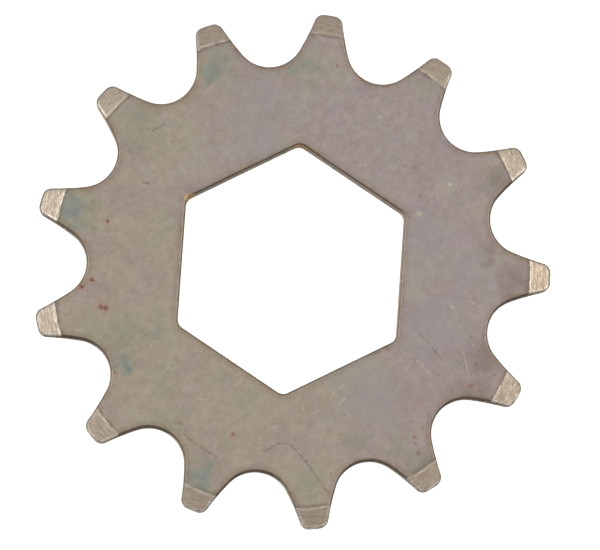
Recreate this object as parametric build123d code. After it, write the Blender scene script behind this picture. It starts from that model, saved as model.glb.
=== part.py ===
from build123d import *
from math import cos, hypot, pi, radians, sin, sqrt
import os

# Plate sprocket for half-inch pitch roller chain, with thirteen teeth and a
# hexagonal bore. One flat steel plate: no hub, no keyway and no fasteners.
# Sizes are in millimetres.
#
# Origin: centre of the bore, half way through the plate, on the chain line.
# +Z is the shaft axis and comes out of the front face.
# +Y points at the tooth that stands over a corner of the hexagon.

# ---- chain the wheel is cut for ----
teeth = 13                  # tooth count
chain_pitch = 12.7          # from one roller centre to the next
roller_diameter = 7.75      # outside of the chain's rollers

# ---- tooth form ----
seat_clearance = 0.03       # how much the seat's radius is larger than the roller's
seat_half_angle = 54.0      # degrees from the root to where the flank begins
flank_radius = 25.0         # long hollow arc from the seat to the tip corner
tip_corner_radius = 1.05    # rounds the flank into the tip circle
tip_height = 2.2            # tooth tips above the pitch circle

# ---- plate ----
plate_thickness = 3.0       # face to face
chamfer_length = 2.35       # turned tooth chamfer, measured along the radius
chamfer_depth = 0.62        # how far each chamfer has dropped at the tooth tip
tooth_edge_break = 0.25     # narrow bevel round the teeth, both faces

# ---- bore ----
shaft_across_flats = 24.0   # the hexagonal shaft the wheel slides on to
bore_clearance = 0.2        # bore across flats, over the shaft's
bore_corner_radius = 1.1    # fillet in the six corners
bore_edge_break = 0.18      # narrow bevel round the bore, both faces

# ---- worked out from the sizes above ----
tooth_step = 2 * pi / teeth
pitch_radius = chain_pitch / (2 * sin(tooth_step / 2))
seat_radius = roller_diameter / 2 + seat_clearance
seat_angle = radians(seat_half_angle)
root_radius = pitch_radius - seat_radius
tip_radius = pitch_radius + tip_height
half_plate = plate_thickness / 2
chamfer_start_radius = tip_radius - chamfer_length
bore_across_flats = shaft_across_flats + bore_clearance
bore_across_corners = bore_across_flats / cos(pi / 6)


def turned(point, angle):
    """A point carried round the wheel centre by this angle."""
    x, y = point
    return (x * cos(angle) - y * sin(angle), x * sin(angle) + y * cos(angle))


def mirrored(point):
    """The matching point on the other side of the gap's centre line."""
    return (point[0], -point[1])


def between(start, end, share):
    """The point this share of the way from start to end."""
    return (
        start[0] + (end[0] - start[0]) * share,
        start[1] + (end[1] - start[1]) * share,
    )


def arc_middle(start, end, centre):
    """The point half way round the short arc from start to end."""
    radius = hypot(start[0] - centre[0], start[1] - centre[1])
    chord_middle = between(start, end, 0.5)
    reach = hypot(chord_middle[0] - centre[0], chord_middle[1] - centre[1])
    return between(centre, chord_middle, radius / reach)


# ---- one tooth gap, with its centre line along +X ----
# The roller sits in an arc about the roller centre, on the pitch circle.
root_point = (root_radius, 0.0)
seat_end = (
    pitch_radius - seat_radius * cos(seat_angle),
    seat_radius * sin(seat_angle),
)

# The flank leaves the seat without a kink, so its centre is on the line from the
# seat's end through the roller centre, further away.
flank_centre = (
    seat_end[0] + flank_radius * cos(seat_angle),
    seat_end[1] - flank_radius * sin(seat_angle),
)

# The tip corner touches the flank from the metal's side and the tip circle from
# inside, which puts its centre where two circles cross: one about the flank's
# centre and one about the wheel's.
corner_to_flank = flank_radius + tip_corner_radius
corner_to_wheel = tip_radius - tip_corner_radius
flank_to_wheel = hypot(flank_centre[0], flank_centre[1])
along = (corner_to_wheel**2 - corner_to_flank**2 + flank_to_wheel**2) / (2 * flank_to_wheel)
across = sqrt(corner_to_wheel**2 - along**2)
corner_centre = (
    (along * flank_centre[0] - across * flank_centre[1]) / flank_to_wheel,
    (along * flank_centre[1] + across * flank_centre[0]) / flank_to_wheel,
)
flank_end = between(flank_centre, corner_centre, flank_radius / corner_to_flank)
corner_end = between((0.0, 0.0), corner_centre, tip_radius / corner_to_wheel)

flank_middle = arc_middle(seat_end, flank_end, flank_centre)
corner_middle = arc_middle(flank_end, corner_end, corner_centre)


def gap_and_tip(angle):
    """Six arcs: down one flank, round the seat, up the other flank, over the tip."""
    tip_middle = turned((tip_radius, 0.0), angle + tooth_step / 2)
    next_gap = angle + tooth_step
    stops = [
        turned(mirrored(corner_end), angle),
        turned(mirrored(corner_middle), angle),
        turned(mirrored(flank_end), angle),
        turned(mirrored(flank_middle), angle),
        turned(mirrored(seat_end), angle),
        turned(root_point, angle),
        turned(seat_end, angle),
        turned(flank_middle, angle),
        turned(flank_end, angle),
        turned(corner_middle, angle),
        turned(corner_end, angle),
        tip_middle,
        turned(mirrored(corner_end), next_gap),
    ]
    return [ThreePointArc(*stops[i:i + 3]) for i in range(0, len(stops) - 1, 2)]


# ---- the toothed outline, gap after gap ----
# A tooth stands on +Y, so the first gap is half a step round from it.
outline = []
for gap in range(teeth):
    outline += gap_and_tip(pi / 2 + (gap + 0.5) * tooth_step)
toothed_disc = make_face(Wire(outline))

# ---- the hexagonal bore, with two of its corners on the Y axis ----
hexagon = RegularPolygon(
    radius=bore_across_flats / 2,
    side_count=6,
    major_radius=False,
    rotation=30,
)
hexagon = fillet(hexagon.vertices(), bore_corner_radius)

# ---- the punched plate ----
punched_plate = extrude(toothed_disc - hexagon, amount=half_plate, both=True)

# ---- the tooth chamfers, turned on both faces ----
# The lathe's section is wider than the wheel: flat as far as the chamfers, then
# sloping on both sides at the chamfer's own slope. Only what it holds is kept.
overrun = 2.0
overrun_radius = tip_radius + overrun
overrun_drop = (chamfer_length + overrun) * chamfer_depth / chamfer_length
lathe_section = Plane.XZ * make_face(
    Polyline(
        (0, -half_plate),
        (chamfer_start_radius, -half_plate),
        (overrun_radius, -half_plate + overrun_drop),
        (overrun_radius, half_plate - overrun_drop),
        (chamfer_start_radius, half_plate),
        (0, half_plate),
        close=True,
    )
)
chamfered_plate = punched_plate & revolve(lathe_section, Axis.Z)


# ---- broken edges, first round the teeth and then round the bore ----
land_middle = (bore_across_corners / 2 + root_radius) / 2
measure_step = 0.001


def is_tooth_rim(edge):
    """True where a tooth or gap wall comes out of a face or a chamfer."""
    is_arc = edge.geom_type == GeomType.CIRCLE
    if is_arc and abs(edge.radius - chamfer_start_radius) < measure_step:
        return False
    middle = edge.position_at(0.5)
    return hypot(middle.X, middle.Y) > land_middle


def is_bore_rim(edge):
    """True where the bore comes out of a face."""
    middle = edge.position_at(0.5)
    return hypot(middle.X, middle.Y) < land_middle


def level_edges(plate):
    """All edges but the upright ones."""
    return plate.edges().filter_by(Axis.Z, reverse=True)


toothed_plate = chamfer(level_edges(chamfered_plate).filter_by(is_tooth_rim), tooth_edge_break)
sprocket_plate = chamfer(level_edges(toothed_plate).filter_by(is_bore_rim), bore_edge_break)

os.makedirs("parts", exist_ok=True)
export_step(sprocket_plate, "parts/sprocket_plate.step")
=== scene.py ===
# %% [markdown]
# # A plate sprocket, punched, turned and heat-tinted
# This notebook dresses one chain sprocket: a flat steel plate with thirteen teeth and
# a hexagonal bore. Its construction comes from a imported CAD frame, so nothing here
# moves or resizes it. What is added is the finish: the rolled-over edges of a punched
# plate, the turned chamfers on the tooth tips, and steel that was once hot.

# %% Load the frame
import bpy
from math import acos, atan2, cos, hypot, pi, radians, sin, sqrt, tau
from mathutils import Matrix, Vector


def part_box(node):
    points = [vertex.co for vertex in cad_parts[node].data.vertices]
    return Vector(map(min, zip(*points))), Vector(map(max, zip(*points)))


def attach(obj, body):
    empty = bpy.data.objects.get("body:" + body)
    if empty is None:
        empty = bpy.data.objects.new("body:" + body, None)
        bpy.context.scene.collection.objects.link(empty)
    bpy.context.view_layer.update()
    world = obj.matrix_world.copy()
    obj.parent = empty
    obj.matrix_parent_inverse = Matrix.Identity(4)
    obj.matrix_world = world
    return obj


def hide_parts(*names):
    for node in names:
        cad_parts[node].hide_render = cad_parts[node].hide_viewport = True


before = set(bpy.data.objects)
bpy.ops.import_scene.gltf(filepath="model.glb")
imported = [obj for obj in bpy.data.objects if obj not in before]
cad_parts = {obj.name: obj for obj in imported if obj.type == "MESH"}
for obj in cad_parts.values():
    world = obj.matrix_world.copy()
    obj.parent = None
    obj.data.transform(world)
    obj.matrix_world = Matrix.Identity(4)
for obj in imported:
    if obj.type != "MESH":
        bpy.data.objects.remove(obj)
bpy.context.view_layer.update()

# %% [markdown]
# ## The sizes the wheel was cut to
# A sprocket is drawn from its chain. The chain's pitch and the number of teeth give
# the circle on which the roller centres lie, and everything else is measured from
# that circle. Sizes are written in millimetres, as on a drawing, and turned to metres
# once, where a node tree takes them.

# %% Driving sizes
MM = 0.001
TEETH = 13
CHAIN_PITCH = 12.7
ROLLER_DIAMETER = 7.75
SEAT_CLEARANCE = 0.03
SEAT_HALF_ANGLE = radians(54.0)
FLANK_RADIUS = 25.0
TIP_CORNER_RADIUS = 1.05
TIP_HEIGHT = 2.2
CHAMFER_LENGTH = 2.35
CHAMFER_DEPTH = 0.62
BORE_SIDES = 6
BORE_ACROSS_FLATS = 24.2
BORE_CORNER_RADIUS = 1.1

plate_low, plate_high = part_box("sprocket_plate")
HALF_PLATE = plate_high.z / MM
PITCH_RADIUS = CHAIN_PITCH / (2 * sin(pi / TEETH))
SEAT_RADIUS = ROLLER_DIAMETER / 2 + SEAT_CLEARANCE
ROOT_RADIUS = PITCH_RADIUS - SEAT_RADIUS
TIP_RADIUS = PITCH_RADIUS + TIP_HEIGHT
CHAMFER_START = TIP_RADIUS - CHAMFER_LENGTH
print(f"circles: pitch {2 * PITCH_RADIUS:.2f}, roots {2 * ROOT_RADIUS:.2f}, tips {2 * TIP_RADIUS:.2f} mm")

# %% [markdown]
# ## The tooth form as a chain of arcs
# Walk round half a tooth gap, from the root to the middle of the tooth. The path is
# arcs that meet without a kink: the roller's seat, a long hollow flank, a small
# round at the tip and the tip circle. Each arc can be written as how far it turns the
# direction the wall faces, and with what radius. A hollow arc turns it one way, a
# rounded one the other. Crossing two circles tells where the tip round has its centre,
# so that it touches both the flank and the tip circle.

# %% Turns of the arcs
flank_centre = (
    PITCH_RADIUS + (FLANK_RADIUS - SEAT_RADIUS) * cos(SEAT_HALF_ANGLE),
    -(FLANK_RADIUS - SEAT_RADIUS) * sin(SEAT_HALF_ANGLE),
)
corner_to_flank = FLANK_RADIUS + TIP_CORNER_RADIUS
corner_to_wheel = TIP_RADIUS - TIP_CORNER_RADIUS
flank_to_wheel = hypot(*flank_centre)
along = (corner_to_wheel**2 - corner_to_flank**2 + flank_to_wheel**2) / (2 * flank_to_wheel)
across = sqrt(corner_to_wheel**2 - along**2)
corner_centre = (
    (along * flank_centre[0] - across * flank_centre[1]) / flank_to_wheel,
    (along * flank_centre[1] + across * flank_centre[0]) / flank_to_wheel,
)
facing_at_corner = atan2(flank_centre[1] - corner_centre[1], flank_centre[0] - corner_centre[0])
facing_at_tip = atan2(corner_centre[1], corner_centre[0])
# the flank is split where the turned chamfer crosses it, and has narrow columns just past
# that, because further in from the wall the chamfer's start meets later columns
NARROW_STRETCH = 0.36  # mm of flank
cut_reach = (flank_to_wheel**2 + FLANK_RADIUS**2 - CHAMFER_START**2) / (2 * FLANK_RADIUS * flank_to_wheel)
facing_at_cut = atan2(flank_centre[1], flank_centre[0]) - acos(cut_reach)
past_the_cut = -NARROW_STRETCH / FLANK_RADIUS

# name, radius (hollow arcs are negative), turn, and how many columns of points it gets
TOOTH_ARCS = [
    ("Seat", -SEAT_RADIUS, -SEAT_HALF_ANGLE, 10),
    ("Flank", -FLANK_RADIUS, facing_at_cut + SEAT_HALF_ANGLE, 6),
    ("Flank by the cut", -FLANK_RADIUS, past_the_cut, 8),
    ("Cut flank", -FLANK_RADIUS, facing_at_corner - facing_at_cut - past_the_cut, 6),
    ("Tip corner", TIP_CORNER_RADIUS, facing_at_tip - facing_at_corner, 7),
    ("Tip", TIP_RADIUS, pi / TEETH - facing_at_tip, 5),
]
for name, radius, turn, columns in TOOTH_ARCS:
    print(f"{name}: radius {radius:.2f} mm, turns {turn * 360 / tau:.1f} degrees, {columns} columns")

# %% [markdown]
# ## One function for every node
# A node tree is long to write out, because each node has to be made, set and linked.
# One small function does all three, so that a line of code reads like the node it adds.

# %% Add a node, or start a tree
def node(tree, kind, inputs=None, **settings):
    """Add a node, set its properties, and give each named input a value or a link.

    A value that is itself a node stands for the first of its outputs that is in use."""
    made = tree.nodes.new(kind)
    for name, value in settings.items():
        setattr(made, name, value)
    for socket, value in (inputs or {}).items():
        if isinstance(value, bpy.types.Node):
            value = next(output for output in value.outputs if output.enabled)
        if isinstance(value, bpy.types.NodeSocket):
            tree.links.new(value, made.inputs[socket])
        else:
            made.inputs[socket].default_value = value
    return made


def new_tree(name, inputs, outputs):
    """An empty geometry node tree with these inputs and outputs, each (name, socket type, value)."""
    tree = bpy.data.node_groups.new(name, "GeometryNodeTree")
    for label, kind, value in inputs:
        tree.interface.new_socket(label, in_out="INPUT", socket_type=kind).default_value = value
    for label, kind in outputs:
        tree.interface.new_socket(label, in_out="OUTPUT", socket_type=kind)
    return tree, tree.nodes.new("NodeGroupInput"), tree.nodes.new("NodeGroupOutput")


# %% [markdown]
# ## An outline as a node group
# A curve object could hold the outline, but then the points would have to be matched
# by hand to the rest of the surface. A formula is easier to lean on: give the group a
# column number, and it answers with a point on the outline and the direction the wall
# faces there. It works in one half of one gap and folds every other column into that
# half, so the wheel is the same in all of them. The bore is the same idea with a
# straight stretch and a corner arc, repeated six times instead of thirteen.

# %% Outline group
FLOAT, VECTOR, GEOMETRY = "NodeSocketFloat", "NodeSocketVector", "NodeSocketGeometry"


def outline_group(name, repeats, start_radius, facing, stretches):
    """A group that turns a column number into a point and the direction its wall faces.

    stretches are (name, radius, turn, columns); a straight one has a length for its
    radius and no turn. facing is 1 where metal lies inside the outline, -1 outside."""
    tree, given, result = new_tree(
        name,
        [("Column", FLOAT, 0.0), ("Start radius", FLOAT, start_radius * MM)]
        + [(f"{s[0]} size", FLOAT, s[1] * MM) for s in stretches]
        + [(f"{s[0]} turn", FLOAT, s[2]) for s in stretches if s[2]],
        [("Point", VECTOR), ("Facing", VECTOR)],
    )
    repeat_columns = 2.0 * sum(s[3] for s in stretches)
    # which repeat the column is in, and where it is between the two ends of it
    turns = node(tree, "ShaderNodeMath", {
        0: given.outputs["Column"], 1: repeat_columns}, operation="DIVIDE")
    whole = node(tree, "ShaderNodeMath", {0: turns}, operation="FLOOR")
    part = node(tree, "ShaderNodeMath", {0: turns}, operation="FRACT")
    offset = node(tree, "ShaderNodeMath", {0: part, 1: 0.5}, operation="SUBTRACT")
    side = node(tree, "ShaderNodeMath", {0: offset}, operation="SIGN")
    folded = node(tree, "ShaderNodeMath", {0: offset}, operation="ABSOLUTE")
    place = node(tree, "ShaderNodeMath", {0: folded, 1: repeat_columns}, operation="MULTIPLY")
    # add up the stretches, each of which only grows while the column is inside it
    point = node(tree, "ShaderNodeCombineXYZ", {"X": given.outputs["Start radius"]})
    heading = node(tree, "ShaderNodeValue")
    heading.outputs[0].default_value = 0.0
    first = 0
    for label, radius, turn, columns in stretches:
        size = given.outputs[f"{label} size"]
        done = node(tree, "ShaderNodeMapRange", {
            "Value": place, "From Min": float(first), "From Max": float(first + columns)})
        first += columns
        if turn:
            bend = given.outputs[f"{label} turn"]
            turned = node(tree, "ShaderNodeMath", {0: done, 1: bend, 2: heading}, operation="MULTIPLY_ADD")
            before, after = (
                node(tree, "ShaderNodeVectorRotate", {
                    "Vector": (1, 0, 0), "Angle": angle}, rotation_type="Z_AXIS")
                for angle in (heading, turned)
            )
            chord = node(tree, "ShaderNodeVectorMath", {0: after, 1: before}, operation="SUBTRACT")
            step = node(tree, "ShaderNodeVectorMath", {0: chord, "Scale": size}, operation="SCALE")
            heading = turned
        else:
            length = node(tree, "ShaderNodeMath", {0: done, 1: size}, operation="MULTIPLY")
            step = node(tree, "ShaderNodeCombineXYZ", {"Y": length})
        point = node(tree, "ShaderNodeVectorMath", {0: point, 1: step}, operation="ADD")
    wall = node(tree, "ShaderNodeVectorRotate", {
        "Vector": (facing, 0, 0), "Angle": heading}, rotation_type="Z_AXIS")
    # put the half back on its own side and turn it to its own repeat
    flip = node(tree, "ShaderNodeCombineXYZ", {"X": 1.0, "Y": side, "Z": 1.0})
    repeat_angle = tau / repeats
    angle = node(tree, "ShaderNodeMath", {
        0: whole, 1: repeat_angle, 2: tau / 4 + repeat_angle / 2}, operation="MULTIPLY_ADD")
    for socket, vector in (("Point", point), ("Facing", wall)):
        sided = node(tree, "ShaderNodeVectorMath", {0: vector, 1: flip}, operation="MULTIPLY")
        turned = node(tree, "ShaderNodeVectorRotate", {
            "Vector": sided, "Angle": angle}, rotation_type="Z_AXIS")
        tree.links.new(turned.outputs[0], result.inputs[socket])
    return tree


# half a side and half a corner of the bore, as (name, length or radius, turn, columns)
BORE_STRETCHES = [
    ("Flat", (BORE_ACROSS_FLATS / 2 - BORE_CORNER_RADIUS) * sqrt(1 / 3), 0.0, 79),
    ("Corner", BORE_CORNER_RADIUS, pi / BORE_SIDES, 12),
]
tooth_outline = outline_group("Tooth outline", TEETH, ROOT_RADIUS, 1, TOOTH_ARCS)
bore_outline = outline_group("Bore outline", BORE_SIDES, BORE_ACROSS_FLATS / 2, -1, BORE_STRETCHES)
COLUMNS = 2 * TEETH * sum(arc[3] for arc in TOOTH_ARCS)
assert COLUMNS == 2 * BORE_SIDES * sum(stretch[3] for stretch in BORE_STRETCHES)
print(f"{COLUMNS} columns of points round the wheel")

# %% [markdown]
# ## One sheet wrapped round the wheel
# The plate could be extruded and bevelled, but a bevel has trouble where a flank, a
# cone and a flat meet at the tip of a tooth. Here the skin is one grid instead. Its
# columns go round the wheel and its rows go over the section: up the tooth's wall,
# round the rolled edge, in across the turned chamfer and the flat face, round the edge
# of the bore and down its wall. Rows that have nothing to do, such as the chamfer's
# rows in a gap, lie on top of each other and are merged. The lower half is the upper
# one mirrored. A little noise on the edges keeps them from looking ruled.

# %% Sections, from the tooth wall over the face to the bore wall
SECTION = [
    ("tooth wall", 3),
    ("tooth rim", 5),
    ("tooth margin", 3),
    ("chamfer", 3),
    ("face", 10),
    ("bore margin", 3),
    ("bore rim", 4),
    ("bore wall", 3),
]
ROWS = sum(steps for zone, steps in SECTION)
MATCH = 0.001  # mm, how near two points are merged
CRISP_ANGLE = radians(4)  # how far the skin turns at an edge that is kept crisp
RIM_REACH = 0.32  # mm, how far in from the outline the rolled edge has ended
CUT_BLEND = 0.3  # mm each side of the chamfer's start, over which the rolled edge shrinks
FACE_BULGE = 3.0  # mm added to edge_mm in the middle of the face
WAVE_LENGTH = 1.3  # mm, of the wear along the edges
WEAR_REACH = 0.5  # mm in from an edge that wear reaches
WALL_TILT = 0.6  # how upright a normal is where the wall's finish gives way to the rim's
print(f"{ROWS} rows of faces over the section, in {len(SECTION)} zones")

# %% The tree that wraps the sheet
def sprocket_tree(name, heat_tinted, turned_steel, sheared):
    """The tree that wraps the grid, and dresses faces, chamfers and walls apart."""
    tree, given, result = new_tree(
        name,
        [
            ("Half thickness", FLOAT, HALF_PLATE * MM),
            ("Tooth rim radius", FLOAT, 0.3 * MM),
            ("Bore rim radius", FLOAT, 0.28 * MM),
            ("Cut rim share", FLOAT, 0.8),
            ("Margin", FLOAT, 0.45 * MM),
            ("Chamfer start", FLOAT, CHAMFER_START * MM),
            ("Chamfer slope", FLOAT, CHAMFER_DEPTH / CHAMFER_LENGTH),
            ("Edge wobble", FLOAT, 0.02 * MM),
            ("Wobble seed", FLOAT, 13.0),
        ],
        [("Geometry", GEOMETRY)],
    )
    half, margin = given.outputs["Half thickness"], given.outputs["Margin"]
    rim, bore_rim = given.outputs["Tooth rim radius"], given.outputs["Bore rim radius"]
    start = given.outputs["Chamfer start"]

    grid = node(tree, "GeometryNodeMeshGrid", {
        "Size X": float(COLUMNS), "Size Y": float(ROWS), "Vertices X": COLUMNS + 1, "Vertices Y": ROWS + 1})
    where = node(tree, "GeometryNodeInputPosition")
    cell = node(tree, "ShaderNodeSeparateXYZ", {0: where})
    column = node(tree, "ShaderNodeMath", {0: cell.outputs["X"], 1: COLUMNS / 2}, operation="ADD")
    row = node(tree, "ShaderNodeMath", {0: cell.outputs["Y"], 1: ROWS / 2}, operation="ADD")
    done, ends, first = {}, {}, 0
    for zone, steps in SECTION:
        ends[zone] = {"Value": row, "From Min": float(first), "From Max": float(first + steps)}
        done[zone] = node(tree, "ShaderNodeMapRange", ends[zone])
        first += steps

    # the tooth side: out of the wall, round the rim and a little way in along the wall's normal
    teeth = node(tree, "GeometryNodeGroup", {"Column": column}, node_tree=tooth_outline)
    tooth_angle = node(tree, "ShaderNodeMath", {0: done["tooth rim"], 1: tau / 4}, operation="MULTIPLY")
    tooth_sine = node(tree, "ShaderNodeMath", {0: tooth_angle}, operation="SINE")
    tooth_cosine = node(tree, "ShaderNodeMath", {0: tooth_angle}, operation="COSINE")
    tooth_round = node(tree, "ShaderNodeMath", {0: 1.0, 1: tooth_cosine}, operation="SUBTRACT")
    # the lathe took part of the rolled edge away where it cut the chamfer
    outline_radius = node(tree, "ShaderNodeVectorMath", {0: teeth.outputs["Point"]}, operation="LENGTH")
    past_cut = node(tree, "ShaderNodeMath", {0: outline_radius, 1: start}, operation="SUBTRACT")
    rim_left = node(tree, "ShaderNodeMapRange", {
        "Value": past_cut, "From Min": -CUT_BLEND * MM, "From Max": CUT_BLEND * MM,
        "To Min": 1.0, "To Max": given.outputs["Cut rim share"]})
    margin_end = node(tree, "ShaderNodeMath", {0: rim, 1: margin}, operation="ADD")
    rim = node(tree, "ShaderNodeMath", {0: rim, 1: rim_left}, operation="MULTIPLY")
    rolled = node(tree, "ShaderNodeMath", {0: tooth_round, 1: rim}, operation="MULTIPLY")
    margin_step = node(tree, "ShaderNodeMath", {0: done["tooth margin"], 1: 2.0}, operation="POWER")
    tooth_inset = node(tree, "ShaderNodeMix", {0: margin_step, 2: rolled, 3: margin_end})
    inward = node(tree, "ShaderNodeVectorMath", {
        0: teeth.outputs["Facing"], "Scale": tooth_inset}, operation="SCALE")
    tooth_side = node(tree, "ShaderNodeVectorMath", {
        0: teeth.outputs["Point"], 1: inward}, operation="SUBTRACT")

    # the chamfer: straight in to the circle where it starts, if the point is outside it
    reach = node(tree, "ShaderNodeVectorMath", {0: tooth_side}, operation="LENGTH")
    stop = node(tree, "ShaderNodeMath", {0: reach, 1: start}, operation="MINIMUM")
    ratio = node(tree, "ShaderNodeMath", {0: stop, 1: reach}, operation="DIVIDE")
    shrink = node(tree, "ShaderNodeMapRange", {**ends["chamfer"], "To Min": 1.0, "To Max": ratio})
    chamfered = node(tree, "ShaderNodeVectorMath", {0: tooth_side, "Scale": shrink}, operation="SCALE")

    # the bore side, the same way from the other edge
    bore = node(tree, "GeometryNodeGroup", {"Column": column}, node_tree=bore_outline)
    bore_angle = node(tree, "ShaderNodeMath", {0: done["bore rim"], 1: tau / 4}, operation="MULTIPLY")
    bore_sine = node(tree, "ShaderNodeMath", {0: bore_angle}, operation="SINE")
    bore_cosine = node(tree, "ShaderNodeMath", {0: bore_angle}, operation="COSINE")
    bore_round = node(tree, "ShaderNodeMath", {0: 1.0, 1: bore_sine}, operation="SUBTRACT")
    bore_left = node(tree, "ShaderNodeMath", {0: 1.0, 1: done["bore margin"]}, operation="SUBTRACT")
    bore_left = node(tree, "ShaderNodeMath", {0: bore_left, 1: 2.0}, operation="POWER")
    bore_inset = node(tree, "ShaderNodeMath", {0: bore_left, 1: margin}, operation="MULTIPLY")
    bore_inset = node(tree, "ShaderNodeMath", {
        0: bore_round, 1: bore_rim, 2: bore_inset}, operation="MULTIPLY_ADD")
    outward = node(tree, "ShaderNodeVectorMath", {
        0: bore.outputs["Facing"], "Scale": bore_inset}, operation="SCALE")
    bore_side = node(tree, "ShaderNodeVectorMath", {
        0: bore.outputs["Point"], 1: outward}, operation="SUBTRACT")

    # across the face from one side to the other
    plan = node(tree, "ShaderNodeMix", {0: done["face"], 4: chamfered, 5: bore_side}, data_type="VECTOR")

    # the height over the plate's middle
    wall_height = node(tree, "ShaderNodeMath", {0: half, 1: rim}, operation="SUBTRACT")
    height = node(tree, "ShaderNodeMath", {0: wall_height, 1: done["tooth wall"]}, operation="MULTIPLY")
    height = node(tree, "ShaderNodeMath", {0: tooth_sine, 1: rim, 2: height}, operation="MULTIPLY_ADD")
    bore_fall = node(tree, "ShaderNodeMath", {0: bore_cosine, 1: 1.0}, operation="SUBTRACT")
    height = node(tree, "ShaderNodeMath", {0: bore_fall, 1: bore_rim, 2: height}, operation="MULTIPLY_ADD")
    bore_depth = node(tree, "ShaderNodeMath", {0: bore_rim, 1: half}, operation="SUBTRACT")
    height = node(tree, "ShaderNodeMath", {
        0: bore_depth, 1: done["bore wall"], 2: height}, operation="MULTIPLY_ADD")
    radius = node(tree, "ShaderNodeVectorMath", {0: plan}, operation="LENGTH")
    beyond = node(tree, "ShaderNodeMath", {0: radius, 1: start}, operation="SUBTRACT")
    beyond = node(tree, "ShaderNodeMath", {0: beyond, 1: 0.0}, operation="MAXIMUM")
    drop = node(tree, "ShaderNodeMath", {0: beyond, 1: given.outputs["Chamfer slope"]}, operation="MULTIPLY")
    drop = node(tree, "ShaderNodeMath", {0: drop, 1: done["tooth wall"]}, operation="MULTIPLY")
    height = node(tree, "ShaderNodeMath", {0: height, 1: drop}, operation="SUBTRACT")
    lift = node(tree, "ShaderNodeCombineXYZ", {"Z": height})
    skin_place = node(tree, "ShaderNodeVectorMath", {0: plan, 1: lift}, operation="ADD")

    # how far a point is from the nearest edge, in millimetres, for the finish to read
    near_edge = node(tree, "ShaderNodeMix", {0: done["face"], 2: tooth_inset, 3: bore_inset})
    across_face = node(tree, "ShaderNodeMath", {0: done["face"], 1: pi}, operation="MULTIPLY")
    across_face = node(tree, "ShaderNodeMath", {0: across_face}, operation="SINE")
    face_reach = node(tree, "ShaderNodeMath", {
        0: across_face, 1: FACE_BULGE * MM, 2: near_edge}, operation="MULTIPLY_ADD")
    edge_mm = node(tree, "ShaderNodeMath", {0: face_reach, 1: MM}, operation="DIVIDE")
    marked = node(tree, "GeometryNodeStoreNamedAttribute", {
        "Geometry": grid, "Name": "edge_mm", "Value": edge_mm})
    # and which way the nearest wall faces
    faces = node(tree, "ShaderNodeMix", {
        0: done["face"], 4: teeth.outputs["Facing"], 5: bore.outputs["Facing"]}, data_type="VECTOR")
    marked = node(tree, "GeometryNodeStoreNamedAttribute", {
        "Geometry": marked, "Name": "wall_faces", "Value": faces}, data_type="FLOAT_VECTOR")
    upper = node(tree, "GeometryNodeSetPosition", {"Geometry": marked, "Position": skin_place})

    # the lower half, and the two sewn together
    lower = node(tree, "GeometryNodeTransform", {"Geometry": upper, "Scale": (1, 1, -1)})
    lower = node(tree, "GeometryNodeFlipFaces", {"Mesh": lower})
    both = node(tree, "GeometryNodeJoinGeometry", {"Geometry": upper})
    tree.links.new(lower.outputs[0], both.inputs["Geometry"])
    sewn = node(tree, "GeometryNodeMergeByDistance", {"Geometry": both, "Distance": MATCH * MM})

    # a crisp line where the flat face turns into each chamfer, but not round the rolled edges
    bend = node(tree, "GeometryNodeInputMeshEdgeAngle")
    bent = node(tree, "ShaderNodeMath", {
        0: bend.outputs["Unsigned Angle"], 1: CRISP_ANGLE}, operation="GREATER_THAN")
    edge_here = node(tree, "GeometryNodeInputNamedAttribute", {"Name": "edge_mm"})
    past_rim = node(tree, "ShaderNodeMath", {0: edge_here, 1: RIM_REACH}, operation="GREATER_THAN")
    crisp = node(tree, "ShaderNodeMath", {0: bent, 1: past_rim}, operation="MULTIPLY")
    smooth = node(tree, "GeometryNodeSetShadeSmooth", {"Geometry": sewn, "Shade Smooth": True})
    creased = node(tree, "GeometryNodeSetShadeSmooth", {
        "Geometry": smooth, "Selection": crisp, "Shade Smooth": False}, domain="EDGE")

    # edges that were tumbled, not ruled: noise that only ever takes metal away
    seed = node(tree, "ShaderNodeCombineXYZ", {"Z": given.outputs["Wobble seed"]})
    seeded = node(tree, "ShaderNodeVectorMath", {0: where, 1: seed}, operation="ADD")
    waves = node(tree, "ShaderNodeTexNoise", {
        "Vector": seeded, "Scale": 1 / (WAVE_LENGTH * MM), "Detail": 2.0})
    fade = node(tree, "ShaderNodeMapRange", {
        "Value": edge_here, "From Min": 0.0, "From Max": WEAR_REACH, "To Min": -1.0, "To Max": 0.0})
    size = node(tree, "ShaderNodeMath", {0: fade, 1: given.outputs["Edge wobble"]}, operation="MULTIPLY")
    size = node(tree, "ShaderNodeMath", {0: size, 1: waves}, operation="MULTIPLY")
    outward = node(tree, "GeometryNodeInputNormal")
    push = node(tree, "ShaderNodeVectorMath", {0: outward, "Scale": size}, operation="SCALE")
    worn = node(tree, "GeometryNodeSetPosition", {"Geometry": creased, "Offset": push})

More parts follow.
